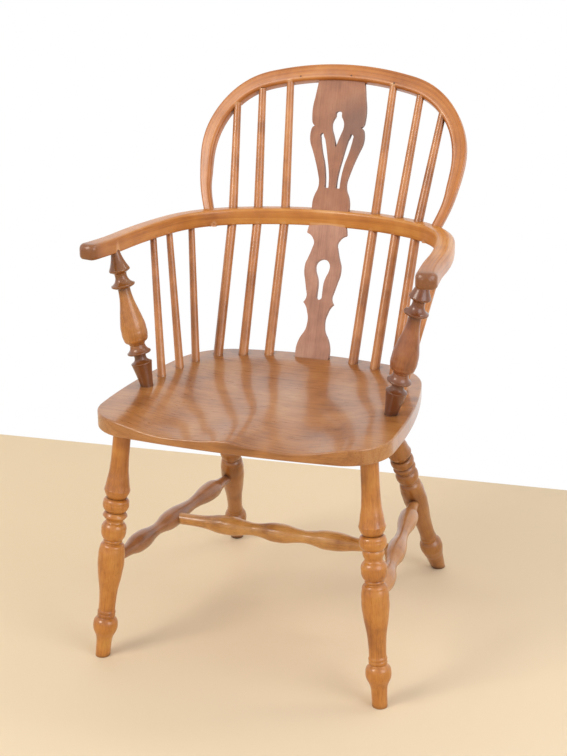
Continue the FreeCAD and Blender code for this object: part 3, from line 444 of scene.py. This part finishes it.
# Grain lines of the turned pieces: stain, start and end, in the chair's own millimetres
turnedPieces = {
    "front_leg_left": ("frontLeg", (-247.2, -203.6, 0), (-211.3, -158.2, 407.5)),
    "front_leg_right": ("frontLeg", (247.2, -203.6, 0), (211.3, -158.2, 407.5)),
    "back_leg_left": ("backLegShaded", (-208.0, 313.8, 0), (-143.4, 120.3, 407.5)),
    "back_leg_right": ("backLegShaded", (208.0, 313.8, 0), (143.4, 120.3, 407.5)),
    "side_stretcher_left": ("leftRailShaded", (-232.4, -184.9, 168), (-182.0, 235.8, 168)),
    "side_stretcher_right": ("rightRail", (232.4, -184.9, 168), (182.0, 235.8, 168)),
    "cross_stretcher": ("crossRail", (-208.3, 15.9, 167), (208.3, 15.9, 167)),
    "arm_post_left": ("leftPost", (-215.0, -54.7, 442), (-268.0, -56.0, 696)),
    "arm_post_right": ("rightPost", (215.0, -54.7, 442), (272.0, -56.0, 696)),
}
# Spindles: feet (x, y) and heads (x, y, z) on the right, and how far the heads lean to the right
spindles = {
    "longFeet": ((79.3, 170.9), (123.5, 156.6), (164.7, 137.8)),
    "longHeads": ((95.5, 327.0, 895.8), (146.1, 318.0, 879.8), (189.6, 303.6, 854.1)),
    "shortFeet": ((212.1, -1.3), (201.7, 51.2), (189.7, 94.6)),
    "shortHeads": ((257.5, 76.0), (249.5, 124.5), (228.5, 175.5)),
    "longLean": 3.7, "shortLean": 2.0,
}
# Grain lines of the two splats, each from its foot to its head, and the level of the seat's rim
boards = {
    "lower_splat": ("lowerSplat", (0, 175.8, 442), (0, 265.5, 661), 0.2),
    "upper_splat": ("upperSplat", (0, 270.5, 687), (0, 335.5, 909), 1.9),
}
seatLevel = 442


def dressSpindle(node, foot, head, seed):
    dress(node, woodMaterial(node, "beechTurnedWaxed", "spindle", foot, head - foot, seed=seed))


def dressStraight():
    # every piece whose grain runs straight
    for index, (node, (stain, low, high)) in enumerate(turnedPieces.items()):
        a, b = place(*low), place(*high)
        face = (0, 0, 1) if "stretcher" in node else (1, 0, 0)
        dress(node, woodMaterial(node, "beechTurnedWaxed", stain, a, b - a, face, 0.37 * index + 0.5))
    for side, name in ((-1, "left"), (1, "right")):
        for index in range(3):
            foot, head = spindles["longFeet"][index], spindles["longHeads"][index]
            a = place(side * foot[0], foot[1], seatLevel)
            b = place(side * head[0] + spindles["longLean"], head[1], head[2])
            dressSpindle("long_spindle_%s_%d" % (name, index + 1), a, b, 0.7 * index + 1.3 * side)
            foot, head = spindles["shortFeet"][index], spindles["shortHeads"][index]
            a = place(side * foot[0], foot[1], seatLevel)
            b = place(side * head[0] + spindles["shortLean"], head[1], bowMiddle(head[1]))
            dressSpindle("short_spindle_%s_%d" % (name, index + 1), a, b, 0.9 * index + 2.3 * side)
    for node, (stain, low, high, seed) in boards.items():
        a, b = place(*low), place(*high)
        dress(node, woodMaterial(node, "fruitwoodBoardSawn", stain, a, b - a, seed=seed))
    middle = place(0, 0, seatLevel)
    dress("seat", woodMaterial("seat", "elmPlankAdzedWaxed", "seat", middle, (1, 0, 0), (0, 0, 1), 0.4))
    ends = woodMaterial("pegs", "oakEndGrainCut", "peg", place(0, 0, 700), (0, 1, 0), (0, 0, 1))
    for node in ("hoop_wedges", "hoop_pins", "bow_pins"):
        dress(node, ends)


dressStraight()
print("straight woods done")


# The two bent rails are shown by copies of their own meshes that carry the place along the bend,
# across it and through it, so that the grain can follow. Arcs are (radius, turn in degrees).
bends = {
    "armBow": {"arcs": ((333.0, 30.4), (167.0, 45.2), (737.0, 11.5), (-610.0, 10.1)), "back": 274.1,
               "lean": 0.0020},
    "hoop": {"foot": (207.0, 204.5), "tilt": 29.25, "arcs": ((337.2, 23.1), (136.0, 74.2)), "crown": 15.8,
             "lean": 0.0035},
}
# Edges sharper than crisp, in degrees, stay crisp, and points nearer than merge become one. A step
# along the bend that is shorter than slack counts as none. The copy is worked through in chunks.
smoothing = {"crisp": 38.0, "merge": 0.00001, "slack": 0.004, "chunk": 4000}


def walkArcs(x, y, heading, arcs, gap=2.0):
    # points every couple of millimetres along tangent arcs; a positive turn is to the left
    points = []
    for radius, turn in arcs:
        steps = max(2, int(abs(radius * math.radians(turn)) / gap))
        for i in range(steps):
            angle = math.radians(turn) / steps
            chord = abs(2 * radius * math.sin(angle / 2))
            middle = heading + math.degrees(angle) / 2
            points.append((x, y, heading))
            x += chord * math.cos(math.radians(middle))
            y += chord * math.sin(math.radians(middle))
            heading += math.degrees(angle)
    points.append((x, y, heading))
    return points


def bowLine():
    # rows of (point, direction outwards, direction up) from the middle of the back to an arm's tip
    spec = bends["armBow"]
    arcs = [(abs(r), -t if r > 0 else t) for r, t in spec["arcs"]]
    rows = []
    for x, y, heading in walkArcs(0.0, spec["back"], 0.0, arcs):
        turn = math.radians(heading + 90)
        out = Vector((math.cos(turn), math.sin(turn), 0))
        rows.append((place(x, y, bowMiddle(y)), out, Vector((0, 0, 1))))
    return rows


def hoopLine():
    # the same from the crown down to a foot
    spec = bends["hoop"]
    right = walkArcs(spec["foot"][0], 0.0, 90 - spec["arcs"][0][1], spec["arcs"])
    x, y, heading = right[-1]
    radius = x / math.sin(math.radians(spec["crown"]))
    right = right[:-1] + walkArcs(x, y, heading, [(radius, spec["crown"])])
    tilt = math.radians(spec["tilt"])
    rows = []
    for x, reach, heading in right:
        turn = math.radians(heading - 90)
        out = Vector((math.cos(turn), math.sin(turn) * math.sin(tilt), math.sin(turn) * math.cos(tilt)))
        y = spec["foot"][1] + reach * math.sin(tilt)
        z = bowMiddle(spec["foot"][1]) + reach * math.cos(tilt)
        rows.append((place(x, y, z), out, Vector((0, math.cos(tilt), -math.sin(tilt)))))
    rows.reverse()
    return rows


def bentCopy(node, name, bend, line, stain, seed):
    # a merged copy of a bent rail whose points know where they are along the bend
    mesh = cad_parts[node].data.copy()
    mesh.name = name
    bm = bmesh.new()
    bm.from_mesh(mesh)
    bmesh.ops.remove_doubles(bm, verts=bm.verts, dist=smoothing["merge"])
    crisp = math.radians(smoothing["crisp"])
    for face in bm.faces:
        face.smooth = True
    for edge in bm.edges:
        edge.smooth = len(edge.link_faces) != 2 or edge.calc_face_angle(0) < crisp
    bm.to_mesh(mesh)
    bm.free()
    spots = np.array([list(row[0]) for row in line])
    outs = np.array([list(row[1]) for row in line])
    ups = np.array([list(row[2]) for row in line])
    lengths = np.concatenate([[0], np.cumsum(np.linalg.norm(np.diff(spots, axis=0), axis=1))])
    tangents = np.cross(outs, ups)
    points = np.empty(len(mesh.vertices) * 3)
    mesh.vertices.foreach_get("co", points)
    points = points.reshape(-1, 3)
    points[:, 0] -= bends[bend]["lean"]
    right = points.copy()
    right[:, 0] = np.abs(right[:, 0])
    values = np.empty_like(points)
    chunk = smoothing["chunk"]
    for start in range(0, len(points), chunk):
        part = right[start:start + chunk]
        nearest = ((part[:, None, :] - spots[None]) ** 2).sum(2).argmin(1)
        offset = part - spots[nearest]
        further = (offset * tangents[nearest]).sum(1)
        further = np.where(np.abs(further) < smoothing["slack"], 0, further)
        values[start:start + chunk, 0] = (offset * outs[nearest]).sum(1)
        values[start:start + chunk, 1] = (offset * ups[nearest]).sum(1)
        values[start:start + chunk, 2] = lengths[nearest] + np.abs(further)
    values[:, 2] *= np.sign(points[:, 0] + 1e-9)
    attribute = mesh.attributes.new("bend", "FLOAT_VECTOR", "POINT")
    attribute.data.foreach_set("vector", values.ravel())
    mesh.materials.clear()
    mesh.materials.append(woodMaterial(name, "ashRailSteamBent", stain, seed=seed))
    obj = bpy.data.objects.new(name, mesh)
    bpy.context.scene.collection.objects.link(obj)
    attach(obj, "root")
    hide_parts(node)


bentCopy("arm_bow", "armBowRail", "armBow", bowLine(), "bow", 0.3)
bentCopy("back_hoop", "backHoopRail", "hoop", hoopLine(), "hoop", 1.6)
print("bent rails done")
